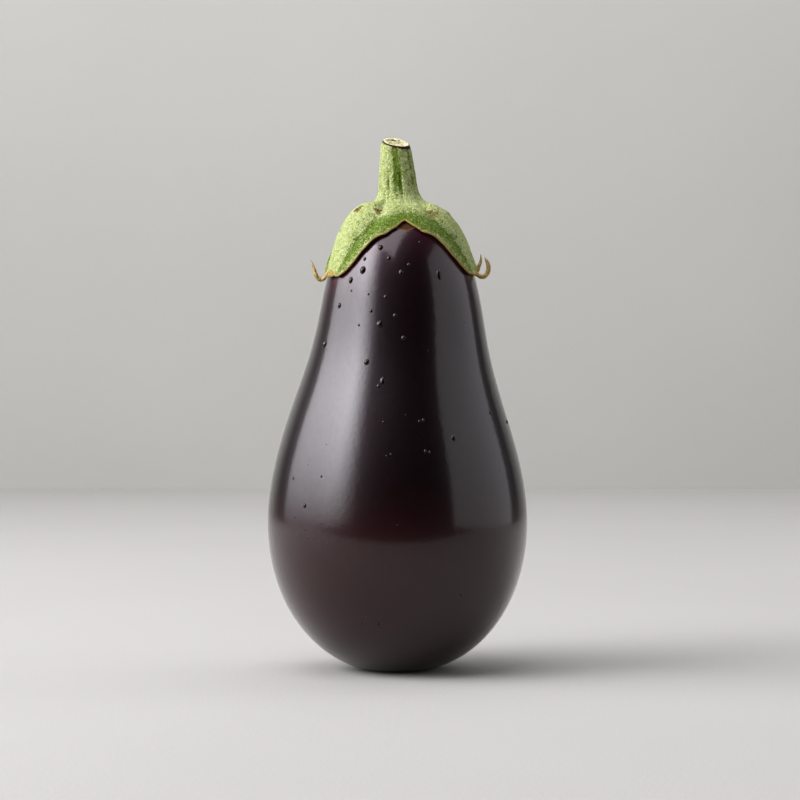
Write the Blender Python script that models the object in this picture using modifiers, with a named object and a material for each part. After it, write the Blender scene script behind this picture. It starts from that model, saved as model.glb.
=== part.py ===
"""An eggplant that stands on the small flat spot at its blossom end.

Metres, +Z up. The origin is the middle of the flat spot, and -Y is the front. An azimuth is in
degrees from the front and grows towards +X. A reach is a distance over the skin from the fruit's
pole, the point under the stem.
"""

import math

import bmesh
import bpy
import numpy as np
from mathutils import Vector

# Driving dimensions.
FRUIT_HEIGHT = 0.1688
NECK_SWAY = 0.00135
STEM_TOP = 0.1927
CALYX_CROWN = 0.1731
PIECE_GAP = 0.0003

# The fruit's outline from its pole, over the shoulder and the neck, round the belly and down to
# the rim of the flat spot: (radius, height) in millimetres.
FRUIT_OUTLINE = (
    (0.0, 168.8),
    (9.0, 168.0),
    (16.4, 164.0),
    (22.7, 155.0),
    (27.5, 141.0),
    (32.5, 116.7),
    (40.5, 90.4),
    (46.7, 64.2),
    (47.4, 52.0),
    (46.1, 40.0),
    (40.0, 22.5),
    (27.0, 7.1),
    (17.6, 1.7),
    (12.6, 0.0),
)
FRUIT_RINGS = 42
FRUIT_STEPS = 48
SWAY_START = 0.53 * FRUIT_HEIGHT
SWAY_END = 0.80 * FRUIT_HEIGHT

# The calyx's edge goes round by turns through a sinus and a lobe's tip: (azimuth, reach). The wide
# sinus is at the front, where the fifth lobe would be.
CALYX_TURNS = (
    (4, 0.0200),
    (77, 0.0407),
    (115, 0.0305),
    (149, 0.0395),
    (183, 0.0295),
    (218, 0.0405),
    (254, 0.0300),
    (294, 0.0416),
)
LOBES = CALYX_TURNS[1::2]
# From a sinus (0) to a lobe's tip (1) the edge goes out to a shoulder, and then down the lobe's
# side: the shares of the way where each ends, and the shoulder's share of the reach.
SHOULDER_END = 0.33
SIDE_END = 0.80
SHOULDER_REACH = 0.40
CALYX_COLUMNS = 72
CALYX_ROWS = 12
SHEET_THICKNESS = 0.0015
EDGE_THICKNESS = 0.0008
RIB_THICKNESS = 0.0015
RIB_HALF_WIDTH = 30
EDGE_LIFT = 0.0006
CROWN_RADIUS = 0.0080
CROWN_FLARE = 0.0024

# The stem's middle line runs past both of its cuts: (x, height, radius) in millimetres.
STEM_LINE = (
    (0.3, 171.0, 8.4),
    (0.2, 176.0, 7.3),
    (-0.1, 181.0, 6.7),
    (-0.4, 187.0, 6.0),
    (-0.6, 190.0, 5.6),
    (-0.7, 192.5, 4.8),
    (-0.8, 197.0, 3.6),
)
STEM_POINTS = 14
STEM_SIDES = 42
STEM_RIBS = 7
STEM_RIB_HEIGHT = 0.045
STEM_CUT_NORMAL = (0.17, -0.38, 1.0)

# The lobes' dried tips, each from inside its lobe to its free end: (azimuth, distance out from
# the skin, height, radius), the last three in millimetres.
SEPAL_TIPS = {
    "tip_left": (
        (-70, 1.4, 146.4, 0.5),
        (-73, 1.7, 143.6, 0.8),
        (-75, 2.9, 141.9, 0.9),
        (-75, 4.2, 142.9, 0.9),
        (-75, 5.3, 145.0, 0.8),
        (-75, 7.0, 147.4, 0.6),
        (-75, 8.8, 149.2, 0.3),
    ),
    "tip_right_outer": (
        (77, 1.5, 146.6, 0.5),
        (78, 1.7, 143.8, 0.8),
        (79, 3.3, 143.0, 1.0),
        (80, 5.2, 145.0, 1.0),
        (80, 6.0, 147.6, 0.9),
        (80, 5.4, 150.4, 0.4),
    ),
    "tip_right_inner": (
        (79, 1.5, 145.6, 0.5),
        (80, 2.0, 145.2, 0.7),
        (82, 3.3, 147.6, 0.8),
        (82, 4.4, 149.8, 0.6),
        (82, 4.3, 151.4, 0.3),
    ),
    "tip_back_right": (
        (149, 1.4, 148.0, 0.5),
        (149, 1.7, 145.2, 0.8),
        (148, 3.3, 143.8, 0.9),
        (147, 4.9, 145.0, 0.7),
        (147, 5.4, 147.4, 0.3),
    ),
    "tip_back_left": (
        (218, 1.4, 147.2, 0.5),
        (218, 1.7, 144.3, 0.8),
        (219, 3.5, 143.0, 0.8),
        (221, 5.0, 144.4, 0.7),
        (222, 5.2, 147.0, 0.3),
    ),
}
TIP_POINTS = 11
FINE_POINTS = 600
MILLIMETRE = 0.001


def clear_scene():
    for obj in list(bpy.data.objects):
        bpy.data.objects.remove(obj)


def new_collection(name):
    collection = bpy.data.collections.new(name)
    bpy.context.scene.collection.children.link(collection)
    return collection


def new_object(name, data, collection):
    obj = bpy.data.objects.new(name, data)
    collection.objects.link(obj)
    return obj


def evaluated_mesh(obj):
    """The object's mesh with its modifiers or its bevel made real."""
    graph = bpy.context.evaluated_depsgraph_get()
    return bpy.data.meshes.new_from_object(obj.evaluated_get(graph))


def material(name, colour, roughness):
    made = bpy.data.materials.new(name)
    made.use_nodes = True
    shader = made.node_tree.nodes["Principled BSDF"]
    shader.inputs["Base Color"].default_value = (*colour, 1.0)
    shader.inputs["Roughness"].default_value = roughness
    shader.inputs["Metallic"].default_value = 0.0
    made.diffuse_color = (*colour, 1.0)
    return made


def smooth_line(points, count):
    """count evenly spaced points on a cubic curve through the given points."""
    points = np.array(points, float)
    knots = np.concatenate(([0.0], np.cumsum(np.linalg.norm(np.diff(points, axis=0), axis=1))))
    slopes = np.gradient(points, knots, axis=0)
    fine = np.linspace(0.0, knots[-1], FINE_POINTS)
    span = np.clip(np.searchsorted(knots, fine, side="right") - 1, 0, len(points) - 2)
    width = np.diff(knots)[span][:, None]
    t = (fine - knots[span])[:, None] / width
    curve = (
        (1 + 2 * t) * (1 - t) ** 2 * points[span]
        + t * (1 - t) ** 2 * width * slopes[span]
        + t**2 * (3 - 2 * t) * points[span + 1]
        + t**2 * (t - 1) * width * slopes[span + 1]
    )
    along = np.concatenate(([0.0], np.cumsum(np.linalg.norm(np.diff(curve, axis=0), axis=1))))
    even = np.linspace(0.0, along[-1], count)
    return np.column_stack([np.interp(even, along, column) for column in curve.T])


class Meridian:
    """The fruit's outline, read by reach."""

    def __init__(self):
        self.line = smooth_line(np.array(FRUIT_OUTLINE) * MILLIMETRE, FINE_POINTS)
        steps = np.linalg.norm(np.diff(self.line, axis=0), axis=1)
        self.reaches = np.concatenate(([0.0], np.cumsum(steps)))

    def at(self, reach):
        """The radius and height at a reach, and the outward normal there as (radial, up)."""
        radius, height = (np.interp(reach, self.reaches, column) for column in self.line.T)
        step = 2e-4
        after = [np.interp(reach + step, self.reaches, column) for column in self.line.T]
        before = [
            np.interp(max(reach - step, 0.0), self.reaches, column) for column in self.line.T
        ]
        along = Vector((after[0] - before[0], after[1] - before[1])).normalized()
        return radius, height, Vector((-along.y, along.x))

    def radius_at(self, height):
        """The radius of the fruit at a height over its belly."""
        upper = self.line[self.line[:, 1] > SWAY_START][::-1]
        return np.interp(height, upper[:, 1], upper[:, 0])


def sway(height):
    """How far the fruit's middle line stands to +X at a height: an S-curve between two heights."""
    t = min(max((height - SWAY_START) / (SWAY_END - SWAY_START), 0.0), 1.0)
    return NECK_SWAY * t * t * (3 - 2 * t)


def around_axis(azimuth, radius, height):
    turn = math.radians(azimuth)
    return Vector((sway(height) + radius * math.sin(turn), -radius * math.cos(turn), height))


def make_fruit(collection, meridian):
    """The outline turned round the axis, then leaned by the neck's sway."""
    rings = smooth_line(meridian.line, FRUIT_RINGS)
    profile = [(radius, 0.0, height) for radius, height in rings] + [(0.0, 0.0, 0.0)]
    profile[-2] = (profile[-2][0], 0.0, 0.0)
    mesh = bpy.data.meshes.new("fruit_profile")
    mesh.from_pydata(profile, [(i, i + 1) for i in range(len(profile) - 1)], [])
    turned = new_object("fruit_profile", mesh, collection)
    screw = turned.modifiers.new("turn", "SCREW")
    screw.steps = screw.render_steps = FRUIT_STEPS
    screw.use_merge_vertices = True
    screw.merge_threshold = 1e-5
    fruit = new_object("fruit", evaluated_mesh(turned), collection)
    bpy.data.objects.remove(turned)
    for vertex in fruit.data.vertices:
        vertex.co.x += sway(vertex.co.z)
    fruit.data.shade_smooth()
    fruit.data.set_sharp_from_angle(angle=math.radians(40))
    return fruit


def smooth_step(value, start, end):
    """0 before start, 1 after end, and 3t^2 - 2t^3 between them."""
    t = min(max((value - start) / (end - start), 0.0), 1.0)
    return t * t * (3 - 2 * t)


def calyx_reach(azimuth):
    """The reach of the calyx's edge: from a sinus to a shoulder, and down the lobe's side."""
    turns = [*CALYX_TURNS, (CALYX_TURNS[0][0] + 360, CALYX_TURNS[0][1])]
    azimuth = CALYX_TURNS[0][0] + (azimuth - CALYX_TURNS[0][0]) % 360
    index = max(i for i in range(len(CALYX_TURNS)) if turns[i][0] <= azimuth)
    (start, low), (end, high) = turns[index], turns[index + 1]
    t = (azimuth - start) / (end - start)
    if low > high:
        low, high, t = high, low, 1 - t
    shoulder = math.sin(math.pi / 2 * min(t / SHOULDER_END, 1.0) ** 1.25)
    side = smooth_step(t, SHOULDER_END, SIDE_END)
    return low + (high - low) * (SHOULDER_REACH * shoulder + (1 - SHOULDER_REACH) * side)


def nearest_lobe(azimuth):
    """Degrees from this azimuth to the middle of the nearest lobe."""
    return min(abs((azimuth - lobe + 180) % 360 - 180) for lobe, _ in LOBES)


def calyx_thickness(azimuth, reach, edge, skin_height):
    """A flat-topped crown under the stem that flares into a sheet with a rib down each lobe."""
    share = reach / edge
    rib = RIB_THICKNESS * math.exp(-((nearest_lobe(azimuth) / RIB_HALF_WIDTH) ** 4))
    sheet = SHEET_THICKNESS + rib + (EDGE_THICKNESS - SHEET_THICKNESS - rib) * share**3
    crown = CALYX_CROWN - skin_height - PIECE_GAP
    past = max(reach - CROWN_RADIUS, 0.0)
    return sheet + (crown - sheet) * math.exp(-((past / CROWN_FLARE) ** 1.4))


def make_calyx(collection, meridian):
    """A grid wrapped over the fruit, thickened outwards, with its dried tips joined on."""
    bm = bmesh.new()
    bmesh.ops.create_grid(bm, x_segments=CALYX_COLUMNS, y_segments=CALYX_ROWS, size=0.5)
    shares = bm.verts.layers.deform.verify()
    thickest = CALYX_CROWN - FRUIT_HEIGHT + PIECE_GAP
    for vertex in bm.verts:
        azimuth = 360 * (vertex.co.x + 0.5)
        edge = calyx_reach(azimuth)
        reach = edge * (vertex.co.y + 0.5)
        radius, height, normal = meridian.at(reach)
        thickness = calyx_thickness(azimuth, reach, edge, height)
        vertex[shares][0] = thickness / thickest
        lift = PIECE_GAP + EDGE_LIFT * (reach / edge) ** 4
        radius = max(radius + lift * normal.x, 0.0) if reach > 0 else 0.0
        vertex.co = around_axis(azimuth, radius, height + lift * normal.y)
    bmesh.ops.remove_doubles(bm, verts=bm.verts, dist=1e-6)
    bmesh.ops.recalc_face_normals(bm, faces=bm.faces)
    if sum(face.normal.z for face in bm.faces) < 0:
        bmesh.ops.reverse_faces(bm, faces=bm.faces)
    mesh = bpy.data.meshes.new("calyx")
    bm.to_mesh(mesh)
    bm.free()
    calyx = new_object("calyx", mesh, collection)
    calyx.vertex_groups.new(name="thickness")
    shell = calyx.modifiers.new("sheet", "SOLIDIFY")
    shell.thickness = thickest
    shell.offset = 1.0
    shell.vertex_group = "thickness"
    return calyx


def poly_curve(name, points, radii, collection):
    """An open tube along the points, with its own radius at each."""
    curve = bpy.data.curves.new(name, "CURVE")
    curve.dimensions = "3D"
    curve.use_fill_caps = True
    spline = curve.splines.new("POLY")
    spline.points.add(len(points) - 1)
    for point, place, radius in zip(spline.points, points, radii):
        point.co = (*place, 1.0)
        point.radius = radius
    return new_object(name, curve, collection)


def welded_mesh_object(name, tube, collection):
    """The tube's own surface as a mesh object, with its caps joined to its sides."""
    mesh = evaluated_mesh(tube)
    bm = bmesh.new()
    bm.from_mesh(mesh)
    bmesh.ops.remove_doubles(bm, verts=bm.verts, dist=1e-7)
    bmesh.ops.recalc_face_normals(bm, faces=bm.faces)
    bm.to_mesh(mesh)
    bm.free()
    made = new_object(name, mesh, collection)
    made.matrix_world = tube.matrix_world
    bpy.data.objects.remove(tube)
    return made


def tip_place(meridian, azimuth, distance, height):
    height *= MILLIMETRE
    return around_axis(azimuth, meridian.radius_at(height) + distance * MILLIMETRE, height)


def join_tips(calyx, helpers, meridian):
    """Each dried tip is a tapered tube that starts inside its lobe."""
    for name, route in SEPAL_TIPS.items():
        places = [
            (*tip_place(meridian, azimuth, distance, height), radius * MILLIMETRE)
            for azimuth, distance, height, radius in route
        ]
        line = smooth_line(places, TIP_POINTS)
        tube = poly_curve(name + "_line", line[:, :3], line[:, 3], helpers)
        tube.data.bevel_depth = 1.0
        tube.data.bevel_resolution = 2
        tip = welded_mesh_object(name, tube, helpers)
        tip.hide_render = True
        tip.display_type = "WIRE"
        join = calyx.modifiers.new(name, "BOOLEAN")
        join.operation = "UNION"
        join.solver = "EXACT"
        join.object = tip


def ribbed_ring(helpers):
    """The stem's cross-section: a unit circle with low round ribs."""
    curve = bpy.data.curves.new("stem_section", "CURVE")
    curve.dimensions = "2D"
    spline = curve.splines.new("POLY")
    spline.points.add(STEM_SIDES - 1)
    for index, point in enumerate(spline.points):
        turn = 2 * math.pi * index / STEM_SIDES
        radius = 1 + STEM_RIB_HEIGHT * math.cos(STEM_RIBS * turn)
        point.co = (radius * math.cos(turn), radius * math.sin(turn), 0.0, 1.0)
    spline.use_cyclic_u = True
    section = new_object("stem_section", curve, helpers)
    section.hide_render = True
    return section


def cut_off(bm, place, normal):
    """Removes what lies past a plane and closes the cut."""
    geometry = [*bm.verts, *bm.edges, *bm.faces]
    cut = bmesh.ops.bisect_plane(
        bm, geom=geometry, dist=1e-7, plane_co=place, plane_no=normal, clear_outer=True
    )
    edges = [item for item in cut["geom_cut"] if isinstance(item, bmesh.types.BMEdge)]
    bmesh.ops.edgeloop_fill(bm, edges=edges)


def make_stem(collection, helpers):
    """A ribbed tube with a radius of its own at each height, cut flat below and aslant above."""
    line = smooth_line(np.array(STEM_LINE) * MILLIMETRE, STEM_POINTS)
    tube = poly_curve("stem_line", [(x, 0.0, z) for x, z, _ in line], line[:, 2], helpers)
    tube.data.bevel_mode = "OBJECT"
    tube.data.bevel_object = ribbed_ring(helpers)
    stem = welded_mesh_object("stem", tube, collection)
    bm = bmesh.new()
    bm.from_mesh(stem.data)
    cut_off(bm, (0.0, 0.0, CALYX_CROWN + PIECE_GAP), (0.0, 0.0, -1.0))
    cut_off(bm, (0.0, 0.0, STEM_TOP), STEM_CUT_NORMAL)
    bmesh.ops.recalc_face_normals(bm, faces=bm.faces)
    bm.to_mesh(stem.data)
    bm.free()
    return stem


def main():
    clear_scene()
    eggplant = new_collection("eggplant")
    helpers = new_collection("helpers")
    meridian = Meridian()
    fruit = make_fruit(eggplant, meridian)
    calyx = make_calyx(eggplant, meridian)
    join_tips(calyx, helpers, meridian)
    stem = make_stem(eggplant, helpers)
    fruit.data.materials.append(material("waxy_skin", (0.012, 0.003, 0.005), 0.2))
    calyx.data.materials.append(material("calyx_green", (0.30, 0.42, 0.10), 0.6))
    stem.data.materials.append(material("stem_green", (0.33, 0.47, 0.11), 0.6))


main()
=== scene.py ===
"""An eggplant that stands on its blossom end, on a plaster table top in a small studio.

The file is laid out as an add-on: each operator makes one piece, or a group of like pieces, round
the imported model. Lengths are metres unless a name ends in _mm. -Y is the front. An azimuth is in
degrees from the front and grows towards +X. A reach is a distance over the skin from the fruit's
pole, the point under the stem.
"""

import math

import bpy
import numpy as np
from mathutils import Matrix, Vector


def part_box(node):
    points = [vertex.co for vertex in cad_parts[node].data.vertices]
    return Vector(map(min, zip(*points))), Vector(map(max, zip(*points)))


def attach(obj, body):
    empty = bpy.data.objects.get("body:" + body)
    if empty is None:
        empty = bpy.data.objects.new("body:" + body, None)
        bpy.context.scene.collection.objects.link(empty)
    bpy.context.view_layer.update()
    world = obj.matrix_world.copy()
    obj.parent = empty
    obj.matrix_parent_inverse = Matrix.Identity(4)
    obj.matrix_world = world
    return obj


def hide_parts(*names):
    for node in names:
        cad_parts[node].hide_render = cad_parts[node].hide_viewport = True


bl_info = {
    "name": "Eggplant",
    "version": (1, 0, 0),
    "blender": (4, 5, 0),
    "location": "3D View > Sidebar > Eggplant",
    "description": "Makes an eggplant with its calyx, stem and water drops, and a small studio",
    "category": "Add Mesh",
}

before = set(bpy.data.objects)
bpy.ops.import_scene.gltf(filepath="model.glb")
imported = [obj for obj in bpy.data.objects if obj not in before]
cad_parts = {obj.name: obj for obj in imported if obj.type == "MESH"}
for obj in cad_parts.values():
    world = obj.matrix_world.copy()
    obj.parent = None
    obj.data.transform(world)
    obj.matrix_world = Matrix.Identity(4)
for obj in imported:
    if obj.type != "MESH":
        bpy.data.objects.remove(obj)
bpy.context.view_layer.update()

MM = 0.001
FRUIT_HEIGHT = float(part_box("fruit")[1][2])

# The fruit's outline from its pole, over the shoulder and the neck, round the belly and down to
# the underside: (radius, height) in millimetres.
FRUIT_OUTLINE_MM = (
    (0.0, 168.8),
    (9.0, 168.0),
    (16.4, 164.0),
    (22.7, 155.0),
    (27.5, 141.0),
    (32.5, 116.7),
    (40.5, 90.4),
    (46.7, 64.2),
    (47.4, 52.0),
    (46.1, 40.0),
    (40.0, 22.5),
    (27.0, 7.1),
    (17.6, 1.7),
    (12.0, 0.15),
    (6.0, 0.0),
)
NECK_SWAY = 1.35 * MM
SWAY_START = 0.53 * FRUIT_HEIGHT
SWAY_END = 0.80 * FRUIT_HEIGHT
CURVE_STEPS = 2400

# The calyx's edge goes round by turns through a sinus and a lobe's tip: (azimuth, reach in
# millimetres). The wide sinus is at the front, where the fifth lobe would be.
CALYX_TURNS = (
    (4, 20.3),
    (77, 40.7),
    (115, 30.5),
    (149, 39.5),
    (183, 29.5),
    (218, 40.5),
    (254, 30.0),
    (294, 41.6),
)
# From a sinus (0) to a lobe's tip (1) the edge rounds a shoulder, up to SHOULDER_END, and runs
# down the lobe's side from SIDE_START to SIDE_END. The shoulder has its own share of the reach.
SHOULDER_END = 0.36
SIDE_START, SIDE_END = 0.30, 0.83
SHOULDER_REACH = 0.30
SKIN_GAP = 0.25 * MM

# Seeds of the smooth noises. A length of 1e3 in a noise's waves makes it even along the reach.
EDGE_SEED, CURL_SEED, SWELL_SEED, STEM_SEED, LUMP_SEED, CRUMB_SEED = 3, 4, 5, 6, 8, 9
EDGE_WAVES = ((17, 1e3, 1.0), (29, 1e3, 0.7), (43, 1e3, 0.5))
CURL_WAVES = ((7, 1e3, 1.0), (13, 1e3, 0.8))

# The stem's middle line: (x, height, radius) in millimetres.
STEM_LINE_MM = (
    (0.3, 171.0, 8.2),
    (0.2, 176.0, 7.2),
    (-0.1, 181.0, 6.7),
    (-0.4, 187.0, 6.0),
    (-0.6, 190.0, 5.6),
    (-0.7, 192.5, 4.9),
    (-0.8, 197.0, 4.0),
)
STEM_CUT_HEIGHT = 192.35 * MM
STEM_CUT_NORMAL = (0.17, -0.38, 1.0)
STEM_FOOT = 176.5 * MM
# Furrows down the stem between its ribs: (azimuth, half width in degrees, depth as a share of the
# radius, height in millimetres where it starts).
STEM_FURROWS = (
    (-30, 5, 0.070, 184),
    (-3, 11, 0.030, 215),
    (9, 4, 0.065, 184),
    (32, 4, 0.020, 215),
    (50, 5, 0.035, 215),
    (68, 4, 0.020, 215),
    (92, 7, 0.050, 215),
    (132, 6, 0.050, 215),
    (178, 9, 0.050, 215),
    (226, 6, 0.055, 186),
    (258, 5, 0.030, 215),
    (290, 6, 0.035, 188),
)

# Low knobs on the calyx's shoulder, rubbed brown: (azimuth, reach and size in millimetres).
CALYX_KNOBS = (
    (-58, 17.0, 2.4),
    (-31, 16.0, 2.0),
    (40, 16.5, 2.8),
    (66, 17.5, 1.6),
    (112, 18.0, 2.4),
    (168, 17.0, 1.8),
    (214, 19.0, 2.6),
    (262, 16.0, 1.7),
)
KNOB_HEIGHT = 0.45 * MM

# Dried strands at the lobes' tips, from inside the lobe to the free end: (azimuth, distance out
# from the skin, height, radius), the last three in millimetres.
DRY_STRANDS_MM = (
    (
        (-66, 1.2, 146.0, 0.60),
        (-72, 1.5, 143.6, 1.05),
        (-75, 3.0, 141.9, 1.10),
        (-75, 4.6, 142.9, 1.10),
        (-75, 6.0, 145.0, 0.95),
        (-75, 7.0, 146.4, 0.60),
        (-75, 7.6, 147.2, 0.20),
    ),
    (
        (-74, 4.3, 142.9, 0.30),
        (-74, 6.1, 144.9, 0.35),
        (-74, 7.1, 147.0, 0.30),
        (-75, 9.0, 149.1, 0.12),
    ),
    (
        (75, 1.1, 146.4, 0.60),
        (78, 1.5, 143.9, 1.05),
        (79, 3.1, 143.0, 1.20),
        (80, 5.3, 144.6, 1.25),
        (80, 6.3, 147.0, 1.10),
        (80, 6.2, 149.0, 0.75),
        (80, 5.9, 149.9, 0.25),
    ),
    (
        (77, 1.0, 143.8, 0.90),
        (79, 1.0, 144.5, 1.30),
        (80, 2.5, 146.6, 1.05),
        (81, 4.0, 148.8, 0.70),
        (81, 4.9, 151.2, 0.13),
    ),
    (
        (149, 1.1, 147.8, 0.50),
        (149, 1.5, 145.2, 0.80),
        (148, 3.2, 143.8, 0.80),
        (147, 4.8, 145.0, 0.60),
        (147, 5.3, 147.4, 0.14),
    ),
    (
        (218, 1.1, 147.0, 0.50),
        (218, 1.5, 144.3, 0.80),
        (219, 3.4, 143.0, 0.75),
        (221, 4.9, 144.4, 0.55),
        (222, 5.1, 147.0, 0.14),
    ),
)
# Where short fibres fray from the tips: (azimuth, height).
FRAY_ROOTS_MM = ((-62, 143.4), (-70, 143.0), (77, 144.0), (149, 145.6), (218, 144.6))
FRAY_COUNT = 7
FRAY_SEED = 21

# Water drops: (azimuth, height and radius in millimetres, length over width).
DROPS_MM = (
    (-31, 144.7, 0.95, 1.25),
    (-14, 125.3, 0.95, 1.15),
    (-58, 118.5, 0.95, 1.10),
    (-20, 111.9, 0.80, 1.10),
    (-9, 105.4, 0.75, 1.60),
    (-11, 103.5, 0.50, 1.30),
    (30, 143.2, 0.75, 2.10),
    (28, 85.3, 0.65, 1.50),
    (-41, 141.2, 0.75, 1.35),
    (-49, 132.2, 0.70, 1.20),
    (-18, 152.7, 0.75, 1.10),
    (-10, 148.9, 0.60, 1.20),
    (-31, 148.7, 0.50, 1.20),
    (6, 146.5, 0.50, 1.10),
    (0, 143.7, 0.65, 1.40),
    (17, 154.7, 0.40, 1.10),
    (-11, 135.0, 0.55, 1.15),
    (-21, 130.0, 0.50, 1.10),
    (-4, 128.3, 0.60, 1.10),
    (2, 120.4, 0.60, 1.20),
    (57, 93.8, 0.45, 1.40),
    (78, 90.4, 0.55, 1.20),
    (-44, 61.4, 0.60, 1.20),
    (-39, 137.4, 0.35, 1.10),
    (-24, 136.0, 0.35, 1.10),
    (-29, 125.0, 0.35, 1.20),
    (-54, 70.8, 0.40, 1.20),
    (-36, 71.8, 0.35, 1.10),
    (0, 55.4, 0.18, 1.10),
    (13, 91.6, 0.35, 1.60),
    (11, 91.2, 0.28, 1.80),
    (13, 80.8, 0.35, 1.70),
    (15, 80.4, 0.28, 1.90),
    (-7, 91.0, 0.30, 1.20),
    (-3, 79.8, 0.28, 1.20),
    (-5, 79.2, 0.24, 1.20),
    (-50, 57.0, 0.28, 1.10),
    (-46, 55.5, 0.24, 1.10),
    (-43, 53.0, 0.30, 1.10),
    (-47, 51.5, 0.24, 1.10),
    (-42, 50.0, 0.26, 1.10),
    (-45, 48.0, 0.24, 1.10),
    (31, 30.2, 0.30, 1.10),
    (-19, 17.1, 0.30, 1.10),
    (-10, 13.2, 0.30, 1.10),
    (112, 137.0, 0.80, 1.20),
    (138, 128.0, 0.60, 1.30),
    (166, 139.0, 0.85, 1.20),
    (187, 121.0, 0.70, 1.10),
    (205, 131.0, 0.55, 1.20),
    (240, 136.0, 0.80, 1.30),
    (256, 118.0, 0.60, 1.10),
    (151, 102.0, 0.55, 1.40),
    (222, 96.0, 0.70, 1.20),
)
# A drop's foot is wider than the part that stands out to the eye, whose radius the list holds.
DROP_SWELL = 1.3
SPRAY_COUNT = 70
CLUSTER_COUNT = 26
SPRAY_SEED = 11

LENS_MM = 108
CAMERA_PLACE = (0.9 * MM, -877 * MM, 105.6 * MM)
CAMERA_DIP = 0.48


# Curves and surfaces.


def lengths_along(points):
    """How far along the line through the points each of them is."""
    return np.concatenate(([0.0], np.cumsum(np.linalg.norm(np.diff(points, axis=0), axis=1))))


def natural_spline(points, count):
    """count evenly spaced points on the natural cubic spline through the points.

    Its parameter is the chord length so far. The second derivatives at the points solve the usual
    three-term equations, with zero at both ends.
    """
    points = np.asarray(points, float)
    knots = lengths_along(points)
    gaps = np.diff(knots)
    inner = np.arange(1, len(points) - 1)
    matrix = np.eye(len(points))
    matrix[inner, inner - 1] = gaps[:-1]
    matrix[inner, inner] = 2 * (gaps[:-1] + gaps[1:])
    matrix[inner, inner + 1] = gaps[1:]
    right = np.zeros_like(points)
    right[1:-1] = 6 * np.diff(np.diff(points, axis=0) / gaps[:, None], axis=0)
    bends = np.linalg.solve(matrix, right)
    place = np.linspace(0.0, knots[-1], CURVE_STEPS)
    span = np.clip(np.searchsorted(knots, place, side="right") - 1, 0, len(points) - 2)
    past, left, gap = (
        values[:, None]
        for values in (place - knots[span], knots[span + 1] - place, gaps[span])
    )
    curve = (
        (bends[span] * left**3 + bends[span + 1] * past**3) / (6 * gap)
        + (points[span] / gap - bends[span] * gap / 6) * left
        + (points[span + 1] / gap - bends[span + 1] * gap / 6) * past
    )
    along = lengths_along(curve)
    even = np.linspace(0.0, along[-1], count)
    return np.column_stack([np.interp(even, along, column) for column in curve.T])


MERIDIAN = natural_spline(np.array(FRUIT_OUTLINE_MM) * MM, CURVE_STEPS)
MERIDIAN_REACH = lengths_along(MERIDIAN)
MERIDIAN_ALONG = np.gradient(MERIDIAN, axis=0)
MERIDIAN_ALONG /= np.linalg.norm(MERIDIAN_ALONG, axis=1)[:, None]


def smooth_step(values, start, end):
    """0 before start, 1 after end, and 3t^2 - 2t^3 between them."""
    t = np.clip((values - start) / (end - start), 0.0, 1.0)
    return t * t * (3 - 2 * t)


def bell(values, middle, half_width):
    """exp(-((value - middle) / half width)^2)."""
    return np.exp(-(((values - middle) / half_width) ** 2))


def degrees_from(azimuth, middle):
    """Degrees from a middle azimuth the short way round, from -180 to 180."""
    return (azimuth - middle + 180) % 360 - 180


def turned_bell(azimuth, middle, half_width):
    """A bell over azimuth that knows that the circle closes."""
    return bell(degrees_from(azimuth, middle), 0.0, half_width)


def turned(middle, radius, azimuth, height):
    """Places at a radius round an upright axis that stands a little way to +X."""
    turn = np.radians(azimuth)
    across, forward = middle + radius * np.sin(turn), -radius * np.cos(turn)
    return np.stack(np.broadcast_arrays(across, forward, height), axis=-1)


def sway(height):
    """How far the fruit's middle line stands to +X at a height."""
    return NECK_SWAY * smooth_step(height, SWAY_START, SWAY_END)


def reach_at_height(height):
    """The reach of a height on the neck or the belly."""
    upper = slice(0, int(np.argmax(MERIDIAN[:, 1] < 0.02)))
    return np.interp(-height, -MERIDIAN[upper, 1], MERIDIAN_REACH[upper])


def wrap(azimuth, reach, out=0.0):
    """Places a distance out from the skin along its normal, at an azimuth and a reach."""
    radius, height, along_r, along_z = (
        np.interp(reach, MERIDIAN_REACH, column)
        for column in (*MERIDIAN.T, *MERIDIAN_ALONG.T)
    )
    radius = np.maximum(radius - along_z * out, 0.0)
    height = height + along_r * out
    return turned(sway(height), radius, azimuth, height)


def ripple(seed, azimuth, reach, waves):
    """Smooth noise from -1 to 1: a sum of cosines in azimuth and reach with seeded phases.

    Each wave is (times round, length along in metres, share).
    """
    rng = np.random.default_rng(seed)
    total = sum(share for _, _, share in waves)
    value = np.zeros(np.broadcast(azimuth, reach).shape)
    for times, length, share in waves:
        first, second = rng.uniform(0, 2 * math.pi, 2)
        round_part = np.cos(times * np.radians(azimuth) + first)
        value += share * round_part * np.cos(2 * math.pi * reach / length + second)
    return value / total


def grid_faces(rows, columns):
    """Quads between the rows of a grid whose columns close round, and a fan at each end.

    The grid's points come first, then the point of the first row's fan, then the last row's.
    """
    index = np.arange(rows * columns).reshape(rows, columns)
    beside = np.roll(index, -1, axis=1)
    quads = np.stack([index[:-1], index[1:], beside[1:], beside[:-1]], axis=-1).reshape(-1, 4)
    first = np.full(columns, rows * columns)
    fan_start = np.stack([first, index[0], beside[0]], axis=-1)
    fan_end = np.stack([beside[-1], index[-1], first + 1], axis=-1)
    return quads, np.concatenate([fan_start, fan_end])


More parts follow.
